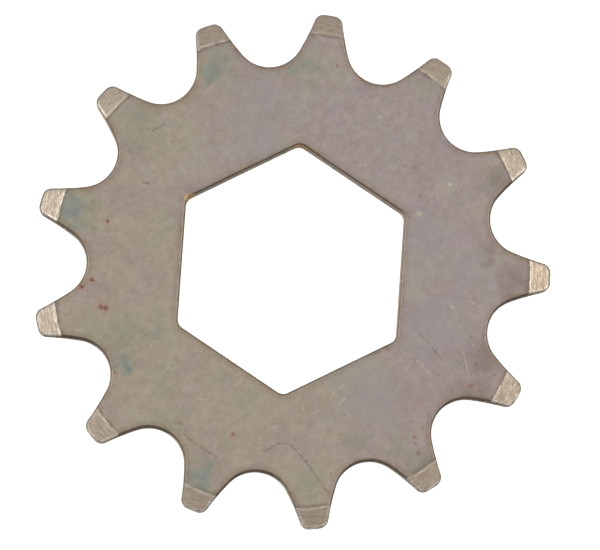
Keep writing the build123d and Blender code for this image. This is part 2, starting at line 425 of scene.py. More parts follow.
    # three finishes: walls first, then the faces, then what lies beyond the chamfer's start
    real = node(tree, "GeometryNodeRealizeInstances", {"Geometry": worn})
    facing_z = node(tree, "ShaderNodeSeparateXYZ", {0: outward})
    upright = node(tree, "ShaderNodeMath", {0: facing_z.outputs["Z"]}, operation="ABSOLUTE")
    on_face = node(tree, "ShaderNodeMath", {0: upright, 1: WALL_TILT}, operation="GREATER_THAN")
    flat_place = node(tree, "ShaderNodeVectorMath", {0: where, 1: (1, 1, 0)}, operation="MULTIPLY")
    out = node(tree, "ShaderNodeVectorMath", {0: flat_place}, operation="LENGTH")
    past_start = node(tree, "ShaderNodeMath", {0: out, 1: start}, operation="GREATER_THAN")
    on_chamfer = node(tree, "ShaderNodeMath", {0: on_face, 1: past_start}, operation="MULTIPLY")
    dressed = node(tree, "GeometryNodeSetMaterial", {"Geometry": real, "Material": sheared})
    for part, finish in ((on_face, heat_tinted), (on_chamfer, turned_steel)):
        dressed = node(tree, "GeometryNodeSetMaterial", {
            "Geometry": dressed, "Selection": part, "Material": finish})
    tree.links.new(dressed.outputs[0], result.inputs[0])
    return tree


# %% [markdown]
# ## Colours, and where a pattern sits
# Colours are easiest to pick as hex codes, but a shader adds up light, so one function
# turns each code into linear values. All three finishes read the object's own
# coordinates, turned into millimetres, so that a pattern's size can be typed as it
# would be measured on the steel. Two more facts are handy on a wheel: how far a place is
# from the shaft's axis, and which way the nearest wall faces, which the sheet has stored.

# %% Colour and place
def colour(hex_code):
    """An sRGB hex colour as the linear RGBA that a shader takes."""
    channels = [int(hex_code[i:i + 2], 16) / 255 for i in (1, 3, 5)]
    return [c / 12.92 if c <= 0.04045 else ((c + 0.055) / 1.055) ** 2.4 for c in channels] + [1.0]


def steel(name, roughness):
    """A bare steel: its material, its node tree, its shader and the place in millimetres."""
    made = bpy.data.materials.new(name)
    made.use_nodes = True
    tree = made.node_tree
    shader = tree.nodes["Principled BSDF"]
    shader.inputs["Metallic"].default_value = 1.0
    shader.inputs["Roughness"].default_value = roughness
    coordinates = node(tree, "ShaderNodeTexCoord")
    place = node(tree, "ShaderNodeVectorMath", {
        0: coordinates.outputs["Object"], "Scale": 1 / MM}, operation="SCALE")
    return made, tree, shader, place


def off_axis(tree, place):
    """How far a place is from the shaft's axis."""
    level = node(tree, "ShaderNodeVectorMath", {0: place, 1: (1, 1, 0)}, operation="MULTIPLY")
    return node(tree, "ShaderNodeVectorMath", {0: level}, operation="LENGTH")


def wall_towards(tree, bearing):
    """How squarely the nearest wall faces this bearing: 1 head on, 0 side on, -1 away."""
    faces = node(tree, "ShaderNodeAttribute", attribute_name="wall_faces")
    return node(tree, "ShaderNodeVectorMath", {
        0: faces.outputs["Vector"], 1: (cos(bearing), sin(bearing), 0)}, operation="DOT_PRODUCT")


print("#808080, half way to white on a screen, is", round(colour("#808080")[0], 3), "of the light")

# %% [markdown]
# ## A scratch as a node group
# A scratch is a short line of dulled or brightened metal, a few tenths of a millimetre
# wide, far too fine for the mesh. So it is drawn by distance: the group drops a point
# onto the line between two ends and says how near it is. A little noise frays the sides,
# because no real scratch has parallel ones. The group is built once and used for every
# scratch.

# %% Scratch group
scratch_group = bpy.data.node_groups.new("Scratch", "ShaderNodeTree")
for label in ("Place", "From", "To"):
    scratch_group.interface.new_socket(label, in_out="INPUT", socket_type=VECTOR)
for label in ("Half width", "Fray"):
    scratch_group.interface.new_socket(label, in_out="INPUT", socket_type=FLOAT)
scratch_group.interface.new_socket("Amount", in_out="OUTPUT", socket_type=FLOAT)
given = scratch_group.nodes.new("NodeGroupInput").outputs
from_start = node(scratch_group, "ShaderNodeVectorMath", {
    0: given["Place"], 1: given["From"]}, operation="SUBTRACT")
run = node(scratch_group, "ShaderNodeVectorMath", {
    0: given["To"], 1: given["From"]}, operation="SUBTRACT")
along_run = node(scratch_group, "ShaderNodeVectorMath", {0: from_start, 1: run}, operation="DOT_PRODUCT")
run_squared = node(scratch_group, "ShaderNodeVectorMath", {0: run, 1: run}, operation="DOT_PRODUCT")
share = node(scratch_group, "ShaderNodeMath", {
    0: along_run, 1: run_squared}, operation="DIVIDE", use_clamp=True)
foot = node(scratch_group, "ShaderNodeVectorMath", {0: run, "Scale": share}, operation="SCALE")
aside = node(scratch_group, "ShaderNodeVectorMath", {0: from_start, 1: foot}, operation="SUBTRACT")
away = node(scratch_group, "ShaderNodeVectorMath", {0: aside}, operation="LENGTH")
frayed = node(scratch_group, "ShaderNodeMath", {0: away, 1: given["Fray"]}, operation="ADD")
nearness = node(scratch_group, "ShaderNodeMapRange", {
    "Value": frayed, "From Min": 0.0, "From Max": given["Half width"], "To Min": 1.0, "To Max": 0.0},
    interpolation_type="SMOOTHSTEP")
scratch_result = scratch_group.nodes.new("NodeGroupOutput")
scratch_group.links.new(nearness.outputs[0], scratch_result.inputs["Amount"])
print("scratch group has", len(scratch_group.nodes), "nodes")

# %% [markdown]
# ## Marks that belong to this wheel
# Some marks follow no rule, because they come from one wheel's life. Heat marks are
# where it touched something while hot. The oxide grew thicker there, and looks green
# where it has begun to and blue where it is full. In broader clouds the skin is only a
# bluer grey. Hands have left grime on the teeth of one side, and grease has dried beside
# a corner of the bore. Rust starts as specks, where the oxide was thin, and some of it
# has only begun. Pale spots are bare metal, and dents and scratches come from the bench
# and the chain. All are listed in millimetres from the middle of the bore, and lie on
# the upper face alone.

# %% Lists of marks
# x, y, radius and how far the oxide has grown: 0.5 is green, 1 is blue
HEAT_MARKS = [
    (-24.0, 2.6, 3.2, 0.95), (-19.6, 11.4, 2.8, 0.75), (-16.3, -18.6, 3.6, 0.85), (1.3, -20.9, 2.2, 0.85),
    (15.9, -19.0, 2.8, 1.0), (-1.6, -19.8, 4.0, 0.55), (-22.4, -7.8, 3.4, 0.5), (-11.0, -10.3, 2.4, 0.35),
    (-11.9, 22.2, 2.4, 0.5), (25.6, 3.2, 2.2, 0.55), (20.3, -2.0, 2.6, 0.5), (22.2, -9.2, 3.0, 0.5),
    (10.9, -10.7, 2.2, 0.45), (-0.1, -16.1, 2.4, 0.65), (-20.5, -9.0, 4.5, 0.4), (-3.0, -22.5, 4.0, 0.45),
    (5.0, -18.0, 3.6, 0.3), (9.5, -20.0, 3.5, 0.4), (7.4, -12.9, 2.0, 0.4), (13.4, -14.6, 2.0, 0.4),
    (22.4, 1.9, 2.0, 0.45), (22.2, 4.9, 1.6, 0.4), (-23.0, -2.0, 3.0, 0.35),
]
# x, y, radius of the clouds where the skin is a bluer grey
BLUE_CLOUDS = [
    (-15.4, 3.2, 5.0), (-18.6, 5.5, 4.0), (3.5, 14.6, 4.0), (12.5, 11.5, 5.0), (16.3, 1.5, 5.5),
    (9.0, 17.5, 3.5),
]
# x, y, radius of the smears of grime
GRIME = [
    (11.7, 21.9, 3.0), (0.7, 25.0, 2.6), (21.0, 11.6, 2.6), (26.3, 4.3, 2.4), (8.0, 20.5, 2.0),
    (18.0, 14.5, 2.5),
]
# x, y, radius of the dried grease beside a corner of the bore
RESIDUE = [(-12.3, -6.85, 0.4), (-12.15, -6.3, 0.3), (-12.1, -7.0, 0.35)]
# x, y, radius of the rust that has set, and of the rust that has only begun
RUST_SPECKS = [
    (-13.6, -15.9, 0.26), (-5.4, -20.7, 0.42), (-5.1, -20.3, 0.4), (-8.5, -20.3, 0.36), (-8.4, -21.7, 0.35),
    (-6.1, -25.7, 0.2), (13.6, -13.8, 0.22), (-18.1, 14.5, 0.2), (1.8, -22.5, 0.18), (-1.0, -22.3, 0.16),
]
FAINT_RUST = [
    (18.3, 13.7, 0.34), (20.3, 12.2, 0.36), (15.3, 14.6, 0.24), (24.4, 3.6, 0.34), (23.3, 3.8, 0.26),
    (22.6, 4.0, 0.24), (20.3, 15.0, 0.2), (21.1, 12.7, 0.2),
]
# x, y, radius of the spots of bare metal
PALE_SPOTS = [
    (0.6, 15.4, 0.45), (-0.8, 20.0, 0.3), (16.1, 8.4, 0.15), (11.6, 14.2, 0.3), (14.7, -19.8, 0.2),
    (-10.9, 16.3, 0.25), (8.6, -15.3, 0.22), (14.9, -9.3, 0.22), (15.5, -1.1, 0.2), (-10.8, 9.4, 0.18),
    (0.3, -19.2, 0.2), (16.3, 14.3, 0.2), (-6.8, 12.5, 0.18),
]
# x, y, radius of the dents
DENTS = [
    (-4.2, 17.1, 0.3), (-1.1, 16.4, 0.25), (6.8, -10.7, 0.16), (17.6, 9.5, 0.16), (19.8, 10.1, 0.18),
    (17.5, 12.0, 0.18), (18.1, 12.4, 0.18),
]
# each scratch is a chain of points; old ones have gone dark, fresh ones are light
DARK_SCRATCHES = [
    [(9.7, -19.1), (9.9, -18.5), (10.4, -18.2), (11.0, -18.3)],
    [(11.3, -18.6), (13.3, -17.6), (15.1, -16.5)],
    [(16.8, -11.6), (16.7, -9.7), (17.2, -8.7), (18.3, -8.3), (19.8, -7.9), (24.5, -7.1)],
    [(12.5, 9.5), (14.2, 10.1), (16.2, 10.4)],
    [(-20.9, -7.5), (-20.5, -7.0), (-20.6, -5.6)],
    [(-15.8, -10.6), (-15.4, -10.0)],
    [(-20.1, -10.9), (-19.5, -10.4)],
    [(-27.0, 3.7), (-26.4, 4.3)],
]
LIGHT_SCRATCHES = [
    [(15.8, -2.2), (15.5, -0.9)], [(14.3, -1.0), (14.0, -0.4)], [(14.8, -2.4), (14.2, -1.7)],
    [(15.5, -5.0), (15.3, -4.0)], [(15.0, -9.5), (15.0, -9.0)], [(11.6, 16.1), (13.0, 16.9)],
    [(15.0, 8.0), (17.4, 8.8)], [(16.3, 13.1), (19.6, 12.3)], [(8.4, -15.6), (8.9, -14.6)],
]
FRONT = HALF_PLATE  # mm, the height of the face that lies up
print(len(HEAT_MARKS), "heat marks,", len(RUST_SPECKS + FAINT_RUST), "rust specks,",
      len(DARK_SCRATCHES + LIGHT_SCRATCHES), "scratches")

# %% [markdown]
# ## Heat-tinted steel
# The faces are mild steel, flattened, ground and then warmed until a skin of oxide a
# few hundredths of a micron thick grew on them. The skin is too thin to see as a
# coating. It colours the metal by interference: straw where it is thinnest, then
# violet, then blue, and a dull green where straw and blue run together. One side of
# this wheel stayed a little cooler, so its colour drifts from straw there to violet on
# the other. Patches, tarnish and fine hues break the drift up. The surface stays a
# metal, neither bright nor dull, with a grain of about 0.2 mm and faint grinding lines
# all running one way. Towards its rims it is browned by handling. Painted shade darkens
# the face a little towards its edges and lays a dark line along the rolled edge, darkest
# on the rims that face one way. Colours are blended first, from the broadest clouds to
# the listed marks, and then the same patterns set the roughness and a shallow bump.

# %% Heat-tinted steel: broad colour
STRAW_SIDE = radians(272)  # the side of the wheel that stayed cooler
CLOUD_SIZE = 9.0  # mm
PATCH_SIZE = 4.0  # mm, of the patches that lean to green or to purple
TARNISH_SIZE = 2.2  # mm
HUE_SIZE = 0.8  # mm
heat_tinted, tree, shader, place = steel("heat-tinted steel", 0.42)

straw_way = Vector((cos(STRAW_SIDE), sin(STRAW_SIDE), 0)) / TIP_RADIUS
side = node(tree, "ShaderNodeVectorMath", {0: place, 1: straw_way}, operation="DOT_PRODUCT")
clouds = node(tree, "ShaderNodeTexNoise", {
    "Vector": place, "Scale": 1 / CLOUD_SIZE, "Detail": 2.0, "Roughness": 0.5})
drift = node(tree, "ShaderNodeMath", {0: clouds, 1: side}, operation="ADD")
straw = node(tree, "ShaderNodeMapRange", {
    "Value": drift, "From Min": 0.0, "From Max": 1.0}, interpolation_type="SMOOTHSTEP")
skin_colour = node(tree, "ShaderNodeMix", {
    0: straw, 6: colour("#9D9194"), 7: colour("#A49985")}, data_type="RGBA")

# the same noise leans to green where it is high and to purple where it is low
patches = node(tree, "ShaderNodeTexNoise", {
    "Vector": place, "Scale": 1 / PATCH_SIZE, "Detail": 3.0, "Roughness": 0.5})
for begins, full, hex_code in ((0.51, 0.72, "#95967F"), (0.49, 0.28, "#A58D8C")):
    leaning = node(tree, "ShaderNodeMapRange", {
        "Value": patches, "From Min": begins, "From Max": full, "To Max": 0.6})
    skin_colour = node(tree, "ShaderNodeMix", {
        0: leaning, 6: skin_colour, 7: colour(hex_code)}, data_type="RGBA")

# tarnish and fine hues: size, roughness and swirl of the noise, and its two colours
for size, roughness, swirl, thick, thin in (
    (TARNISH_SIZE, 0.6, 0.4, "#9D9297", "#A89781"),
    (HUE_SIZE, 0.65, 0.5, "#A58F8A", "#98968A"),
):
    clumps = node(tree, "ShaderNodeTexNoise", {
        "Vector": place, "Scale": 1 / size, "Detail": 3.0, "Roughness": roughness, "Distortion": swirl})
    clumps = node(tree, "ShaderNodeMapRange", {"Value": clumps, "From Min": 0.3, "From Max": 0.7})
    tone = node(tree, "ShaderNodeMix", {
        0: clumps, 6: colour(thick), 7: colour(thin)}, data_type="RGBA")
    skin_colour = node(tree, "ShaderNodeMix", {0: 0.3, 6: skin_colour, 7: tone}, data_type="RGBA")
print("colour varies over", (CLOUD_SIZE, PATCH_SIZE, TARNISH_SIZE, HUE_SIZE), "mm")

# %% Heat-tinted steel: heat marks
FRAY_SIZE = 1.2  # mm, of the noise that frays a mark's colour
SMEAR_SIZE = 1.8  # mm, of the noise that pulls its outline about
SMEAR_REACH = 5.0  # mm, how far it would pull it at most
MARK_SPREAD = 1.15  # a mark fades out a little beyond its radius
MIDDLE_GREY = (0.5, 0.5, 0.5)  # a noise's colour with this taken away points any way
fray = node(tree, "ShaderNodeTexNoise", {
    "Vector": place, "Scale": 1 / FRAY_SIZE, "Detail": 4.0, "Roughness": 0.65})
smear = node(tree, "ShaderNodeTexNoise", {
    "Vector": place, "Scale": 1 / SMEAR_SIZE, "Detail": 2.0, "Roughness": 0.5})
smear = node(tree, "ShaderNodeVectorMath", {
    0: smear.outputs["Color"], 1: MIDDLE_GREY}, operation="SUBTRACT")
smeared = node(tree, "ShaderNodeVectorMath", {
    0: smear, 1: (SMEAR_REACH, SMEAR_REACH, 0.0), 2: place}, operation="MULTIPLY_ADD")
oxide = None
for x, y, reach, growth in HEAT_MARKS:
    away = node(tree, "ShaderNodeVectorMath", {0: smeared, 1: (x, y, FRONT)}, operation="DISTANCE")
    mark = node(tree, "ShaderNodeMapRange", {
        "Value": away, "From Min": 0.0, "From Max": MARK_SPREAD * reach, "To Min": growth, "To Max": 0.0},
        interpolation_type="SMOOTHSTEP")
    oxide = mark if oxide is None else node(tree, "ShaderNodeMath", {0: oxide, 1: mark}, operation="MAXIMUM")
ragged = node(tree, "ShaderNodeMapRange", {
    "Value": fray, "From Min": 0.3, "From Max": 0.7, "To Min": 0.6, "To Max": 1.2})
oxide = node(tree, "ShaderNodeMath", {0: oxide, 1: ragged}, operation="MULTIPLY")
# the oxide's thickness at which each colour begins and is full, and how strong it gets
for begins, full, most, hex_code in (
    (0.08, 0.55, 0.85, "#95937F"),
    (0.4, 0.9, 1.0, "#898D87"),
    (0.75, 1.15, 1.0, "#7F8486"),
):
    grown = node(tree, "ShaderNodeMapRange", {
        "Value": oxide, "From Min": begins, "From Max": full, "To Max": most})
    skin_colour = node(tree, "ShaderNodeMix", {
        0: grown, 6: skin_colour, 7: colour(hex_code)}, data_type="RGBA")
print("the widest heat mark fades out at", max(mark[2] for mark in HEAT_MARKS) * MARK_SPREAD, "mm")

# %% Heat-tinted steel: rims
BROWNED_FROM, BROWNED_TO = 0.15, 0.85  # mm in from an edge, where its brown band fades out
ROLLED_SHADE_FROM, ROLLED_SHADE_TO = 0.1, 0.32  # mm in from an edge, where its painted shade fades out
SOOT_FROM, SOOT_TO = 0.45, 0.1  # mm inside the chamfer's start, where soot sets in and is full
SPECK_SIZE = 0.45  # mm
STRIPE_STEP = 0.2  # mm, of the stripes that follow the edge
STRIPE_LENGTH = 2.2  # mm
PAINTED_LIGHT_SIDE = radians(334)  # the way the rims face whose painted shade is darkest on the faces and whose painted highlight is brightest on the chamfers

edge = node(tree, "ShaderNodeAttribute", attribute_name="edge_mm")
band = node(tree, "ShaderNodeMapRange", {
    "Value": edge.outputs["Fac"], "From Min": BROWNED_FROM, "From Max": BROWNED_TO,
    "To Min": 1.0, "To Max": 0.0})
specks = node(tree, "ShaderNodeTexNoise", {
    "Vector": place, "Scale": 1 / SPECK_SIZE, "Detail": 3.0, "Roughness": 0.65})
stripe = node(tree, "ShaderNodeMath", {
    0: edge.outputs["Fac"], 1: 1 / STRIPE_STEP}, operation="MULTIPLY")
drawn_out = node(tree, "ShaderNodeVectorMath", {0: place, "Scale": 1 / STRIPE_LENGTH}, operation="SCALE")
stripe_place = node(tree, "ShaderNodeCombineXYZ", {"Z": stripe})
stripe_place = node(tree, "ShaderNodeVectorMath", {0: stripe_place, 1: drawn_out}, operation="ADD")
stripes = node(tree, "ShaderNodeTexNoise", {
    "Vector": stripe_place, "Scale": 1.0, "Detail": 2.0, "Roughness": 0.6})
broken = node(tree, "ShaderNodeMapRange", {
    "Value": stripes, "From Min": 0.38, "From Max": 0.62, "To Min": 0.05, "To Max": 0.95})
browned = node(tree, "ShaderNodeMath", {0: band, 1: broken}, operation="MULTIPLY")
brown = node(tree, "ShaderNodeMix", {
    0: specks, 6: colour("#806F5B"), 7: colour("#A88D74")}, data_type="RGBA")
skin_colour = node(tree, "ShaderNodeMix", {0: browned, 6: skin_colour, 7: brown}, data_type="RGBA")

# painted shade: a dark line along the rolled edge, darkest on the rims that face one way
rolled = node(tree, "ShaderNodeMapRange", {
    "Value": edge.outputs["Fac"], "From Min": ROLLED_SHADE_FROM, "From Max": ROLLED_SHADE_TO,
    "To Min": 1.0, "To Max": 0.0})
darkest_shade = node(tree, "ShaderNodeMapRange", {
    "Value": wall_towards(tree, PAINTED_LIGHT_SIDE), "From Min": -0.2, "From Max": 0.8,
    "To Min": 0.12, "To Max": 0.72})
rolled = node(tree, "ShaderNodeMath", {0: rolled, 1: darkest_shade}, operation="MULTIPLY")
skin_colour = node(tree, "ShaderNodeMix", {
    0: rolled, 6: skin_colour, 7: colour("#4E443C")}, data_type="RGBA")

# soot where the chamfers begin
from_axis = off_axis(tree, place)
by_cut = node(tree, "ShaderNodeMapRange", {
    "Value": from_axis, "From Min": CHAMFER_START - SOOT_FROM, "From Max": CHAMFER_START - SOOT_TO,
    "To Max": 0.7})
soot = node(tree, "ShaderNodeMapRange", {"Value": fray, "From Min": 0.36, "From Max": 0.56})
soot = node(tree, "ShaderNodeMath", {0: soot, 1: by_cut}, operation="MULTIPLY")
skin_colour = node(tree, "ShaderNodeMix", {
    0: soot, 6: skin_colour, 7: colour("#75675F")}, data_type="RGBA")
print(f"rims are brown for {BROWNED_TO} mm and dark for {ROLLED_SHADE_TO} mm")

# %% Heat-tinted steel: grinding lines and grain
GRINDING = radians(102)  # the way the grinding lines run
LINE_LENGTH, LINE_STEP = 6.0, 0.25  # mm; real grit is finer, and would not show
FLECK_LENGTH, FLECK_WIDTH = 1.5, 0.3  # mm, of the bare flecks the grinding left
GRAIN_SIZE = 0.22  # mm
MOTTLE_SIZE = 0.9  # mm
CRUMB_SIZE = 0.42  # mm, of the noise whose peaks are crumbs of dirt 0.3 mm across
SHADED_FROM, SHADED_TO = 0.1, 1.1  # mm in from an edge, over which painted shade darkens the face towards it

ground_place, fleck_place = (
    node(tree, "ShaderNodeMapping", {
        "Vector": place, "Rotation": (0, 0, GRINDING), "Scale": (length, width, 1.0)},
        vector_type="TEXTURE")
    for length, width in ((LINE_LENGTH, LINE_STEP), (FLECK_LENGTH, FLECK_WIDTH))
)
lines = node(tree, "ShaderNodeTexNoise", {
    "Vector": ground_place, "Scale": 1.0, "Detail": 2.0, "Roughness": 0.6})
grain = node(tree, "ShaderNodeTexNoise", {
    "Vector": place, "Scale": 1 / GRAIN_SIZE, "Detail": 2.0, "Roughness": 0.7})
mottle = node(tree, "ShaderNodeTexNoise", {
    "Vector": place, "Scale": 1 / MOTTLE_SIZE, "Detail": 3.0, "Roughness": 0.6})
# every noise averages 0.5, so the weights below bring the whole to about 0.92
shade = 0.425
for pattern, weight in ((lines, 0.1), (grain, 0.28), (mottle, 0.38), (patches, 0.22)):
    shade = node(tree, "ShaderNodeMath", {0: pattern, 1: weight, 2: shade}, operation="MULTIPLY_ADD")
# painted shade: the face is darkened towards its edges
edge_shade = node(tree, "ShaderNodeMapRange", {
    "Value": edge.outputs["Fac"], "From Min": SHADED_FROM, "From Max": SHADED_TO, "To Min": 0.9})
shade = node(tree, "ShaderNodeMath", {0: shade, 1: edge_shade}, operation="MULTIPLY")
skin_colour = node(tree, "ShaderNodeVectorMath", {0: skin_colour, "Scale": shade}, operation="SCALE")

# bare flecks, and then crumbs of rust and dirt: only the peaks of their noises show
flecks = node(tree, "ShaderNodeTexNoise", {"Vector": fleck_place, "Scale": 1.0, "Detail": 1.0})
crumbs = node(tree, "ShaderNodeTexNoise", {"Vector": place, "Scale": 1 / CRUMB_SIZE, "Detail": 1.0})
for pattern, begins, full, most, hex_code in (
    (flecks, 0.69, 0.79, 0.3, "#B5AA9A"), (crumbs, 0.68, 0.76, 0.5, "#86705F"),
):
    peaks = node(tree, "ShaderNodeMapRange", {
        "Value": pattern, "From Min": begins, "From Max": full, "To Max": most})
    skin_colour = node(tree, "ShaderNodeMix", {
        0: peaks, 6: skin_colour, 7: colour(hex_code)}, data_type="RGBA")
print(f"grinding lines {LINE_STEP} mm apart, grain of {GRAIN_SIZE} mm, mottling of {MOTTLE_SIZE} mm")

# %% Heat-tinted steel: the listed marks
def gathered(tree, place, spots, core):
    """How strongly any of these round spots covers a point, from 0 to 1.

    core is the share of its radius over which a spot is full."""
    covered = None
    for x, y, reach in spots:
        away = node(tree, "ShaderNodeVectorMath", {0: place, 1: (x, y, FRONT)}, operation="DISTANCE")
        spot = node(tree, "ShaderNodeMapRange", {
            "Value": away, "From Min": reach * core, "From Max": reach, "To Min": 1.0, "To Max": 0.0})
        covered = spot if covered is None else node(
            tree, "ShaderNodeMath", {0: covered, 1: spot}, operation="MAXIMUM")
    return covered


def scratched(tree, place, chains, half_width, fray):
    """How strongly any of these scratches covers a point, from 0 to 1."""
    covered = None
    for chain in chains:
        for start, end in zip(chain, chain[1:]):
            line = node(tree, "ShaderNodeGroup", {
                "Place": place, "From": (*start, FRONT), "To": (*end, FRONT),
                "Half width": half_width, "Fray": fray}, node_tree=scratch_group)
            covered = line if covered is None else node(
                tree, "ShaderNodeMath", {0: covered, 1: line}, operation="MAXIMUM")
    return covered


RAGGED_REACH = 0.7  # mm, how far a small spot's outline is pulled about
HALO_SPREAD = 2.2  # a speck of rust stains this many radii round it
DARK_HALF_WIDTH, LIGHT_HALF_WIDTH = 0.2, 0.15  # mm, of the scratches before they fray
shift = node(tree, "ShaderNodeVectorMath", {
    0: specks.outputs["Color"], 1: MIDDLE_GREY}, operation="SUBTRACT")
ragged_place = node(tree, "ShaderNodeVectorMath", {
    0: shift, 1: (RAGGED_REACH, RAGGED_REACH, 0.0), 2: place}, operation="MULTIPLY_ADD")
halos = [(x, y, reach * HALO_SPREAD) for x, y, reach in RUST_SPECKS]
rust = gathered(tree, ragged_place, RUST_SPECKS, 0.35)
dent = gathered(tree, ragged_place, DENTS, 0.3)
frays = node(tree, "ShaderNodeMath", {0: specks, 1: 0.45, 2: -0.18}, operation="MULTIPLY_ADD")
dark_lines = scratched(tree, place, DARK_SCRATCHES, DARK_HALF_WIDTH, frays)
for amount, strength, hex_code in (
    (gathered(tree, smeared, BLUE_CLOUDS, 0.0), 0.4, "#8E9092"),
    (gathered(tree, smeared, GRIME, 0.2), 0.5, "#74695D"),
    (gathered(tree, place, RESIDUE, 0.4), 0.7, "#C2A271"),
    (gathered(tree, ragged_place, halos, 0.3), 0.45, "#9A7A6E"),
    (rust, 0.66, "#84594B"),
    (gathered(tree, ragged_place, FAINT_RUST, 0.3), 0.72, "#86614F"),
    (gathered(tree, ragged_place, PALE_SPOTS, 0.2), 0.5, "#BDB29A"),
    # the dents are darkened as well: painted shade in the hollow, on top of their bump
    (dent, 0.6, "#746B66"),
    (dark_lines, 0.6, "#6F675D"),
    (scratched(tree, place, LIGHT_SCRATCHES, LIGHT_HALF_WIDTH, frays), 0.5, "#BDB2A4"),
):
    part = node(tree, "ShaderNodeMath", {0: amount, 1: strength}, operation="MULTIPLY")
    skin_colour = node(tree, "ShaderNodeMix", {
        0: part, 6: skin_colour, 7: colour(hex_code)}, data_type="RGBA")
tree.links.new(skin_colour.outputs[2], shader.inputs["Base Color"])
print("the listed marks bring the finish to", len(tree.nodes), "nodes")

# %% Heat-tinted steel: roughness and bump
FACE_BUMP = 0.006  # mm
gloss = node(tree, "ShaderNodeMapRange", {
    "Value": grain, "From Min": 0.3, "From Max": 0.7, "To Min": 0.36, "To Max": 0.5})
gloss = node(tree, "ShaderNodeMath", {0: rust, 1: 0.3, 2: gloss}, operation="MULTIPLY_ADD")
tree.links.new(gloss.outputs[0], shader.inputs["Roughness"])
# what stands up has a positive weight and what is cut in a negative one; the brown band
# is weighted by its own specks
level = grain
for pattern, weight in ((lines, 0.5), (band, specks), (dark_lines, -1.5), (dent, -3.0)):
    level = node(tree, "ShaderNodeMath", {0: pattern, 1: weight, 2: level}, operation="MULTIPLY_ADD")
bump = node(tree, "ShaderNodeBump", {"Height": level, "Strength": 0.5, "Distance": FACE_BUMP * MM})
tree.links.new(bump.outputs[0], shader.inputs["Normal"])
print("heat-tinted steel has", len(tree.nodes), "nodes")

# %% [markdown]
# ## Turned steel
# The chamfers were cut last, on a lathe, so they show clean metal. The tool's feed left
# rings round the wheel about 0.1 mm apart, and its chatter, as it met tooth after tooth,
# crosses them with short bright flecks. Rings like these spread a reflection across
# them and hardly at all along them, so a chamfer flashes when it tips towards a lamp
# and is dull when turned a little aside. That is anisotropy, and its direction is given
# here by a tangent that runs round the shaft. The rings are drawn 0.17 mm apart, or
# they would be too fine to show. A bright line along the edges of the cut and another
# where it starts are painted highlights, strongest on the edges that face one way.
# Outside them a grey line, partly uncut edge and partly painted shade, is widest on the
# edges that face the other way.

# %% Turned steel: rings and flecks
RING_STEP = 0.17  # mm
FLECK_LENGTH = 1.0  # mm
turned_steel, tree, shader, place = steel("turned steel", 0.38)
shader.inputs["Anisotropic"].default_value = 0.6
from_axis = off_axis(tree, place)
axes = node(tree, "ShaderNodeSeparateXYZ", {0: place})
bearing = node(tree, "ShaderNodeMath", {
    0: axes.outputs["Y"], 1: axes.outputs["X"]}, operation="ARCTAN2")
arc = node(tree, "ShaderNodeMath", {0: bearing, 1: TIP_RADIUS}, operation="MULTIPLY")
ring_place = node(tree, "ShaderNodeMath", {0: from_axis, 1: 1 / RING_STEP}, operation="MULTIPLY")
fleck_place = node(tree, "ShaderNodeMath", {0: arc, 1: 1 / FLECK_LENGTH}, operation="MULTIPLY")
rings_at = node(tree, "ShaderNodeCombineXYZ", {
    "X": ring_place, "Y": fleck_place, "Z": axes.outputs["Z"]})
rings = node(tree, "ShaderNodeTexNoise", {
    "Vector": rings_at, "Scale": 1.0, "Detail": 2.0, "Roughness": 0.6})
crossed = node(tree, "ShaderNodeMapping", {
    "Vector": rings_at, "Rotation": (0, 0, radians(35)), "Location": (7, 3, 0)})
flecks = node(tree, "ShaderNodeTexNoise", {
    "Vector": crossed, "Scale": 1.2, "Detail": 3.0, "Roughness": 0.6})
cut = node(tree, "ShaderNodeMix", {0: 0.42, 2: rings, 3: flecks})
brightness = node(tree, "ShaderNodeMapRange", {"Value": cut, "From Min": 0.36, "From Max": 0.64})
cut_colour = node(tree, "ShaderNodeMix", {
    0: brightness, 6: colour("#918376"), 7: colour("#AFA090")}, data_type="RGBA")
print(f"a chamfer is crossed by {CHAMFER_LENGTH / RING_STEP:.0f} rings")

# %% Turned steel: painted highlights, and the uncut grey line with painted shade
BURR_HIGHLIGHT_FROM, BURR_HIGHLIGHT_TO = 0.22, 0.38  # mm in from the edge, where the burr's painted highlight ends
LIP_HIGHLIGHT_FROM, LIP_HIGHLIGHT_TO = 0.1, 0.45  # mm outside the chamfer's start, where the lip's painted highlight ends
UNCUT_AND_SHADE_FROM = 0.05  # mm in from the edge
UNCUT_AND_SHADE_LEAST = 0.1  # mm, the width of the grey line, uncut edge and painted shade, at its narrowest
edge = node(tree, "ShaderNodeAttribute", attribute_name="edge_mm")
painted_light_way = wall_towards(tree, PAINTED_LIGHT_SIDE)
# painted highlight: a bright line along the burr, strongest on edges facing one way, and one at the lip
highlight_side = node(tree, "ShaderNodeMapRange", {
    "Value": painted_light_way, "From Min": -0.4, "From Max": 0.5, "To Min": 0.15, "To Max": 1.0})
burr_highlight = node(tree, "ShaderNodeMapRange", {
    "Value": edge.outputs["Fac"], "From Min": BURR_HIGHLIGHT_FROM, "From Max": BURR_HIGHLIGHT_TO,
    "To Min": 1.0, "To Max": 0.0})
burr_highlight = node(tree, "ShaderNodeMath", {0: burr_highlight, 1: highlight_side}, operation="MULTIPLY")
lip_highlight = node(tree, "ShaderNodeMapRange", {
    "Value": from_axis, "From Min": CHAMFER_START + LIP_HIGHLIGHT_FROM, "From Max": CHAMFER_START + LIP_HIGHLIGHT_TO,
    "To Min": 0.4, "To Max": 0.0})
painted_highlight = node(tree, "ShaderNodeMath", {0: burr_highlight, 1: lip_highlight}, operation="MAXIMUM")
broken_up = node(tree, "ShaderNodeMapRange", {
    "Value": flecks, "From Min": 0.4, "From Max": 0.6, "To Min": 0.1, "To Max": 1.0})
painted_highlight = node(tree, "ShaderNodeMath", {0: painted_highlight, 1: broken_up}, operation="MULTIPLY")
cut_colour = node(tree, "ShaderNodeMix", {
    0: painted_highlight, 6: cut_colour, 7: colour("#E6DCCB")}, data_type="RGBA")
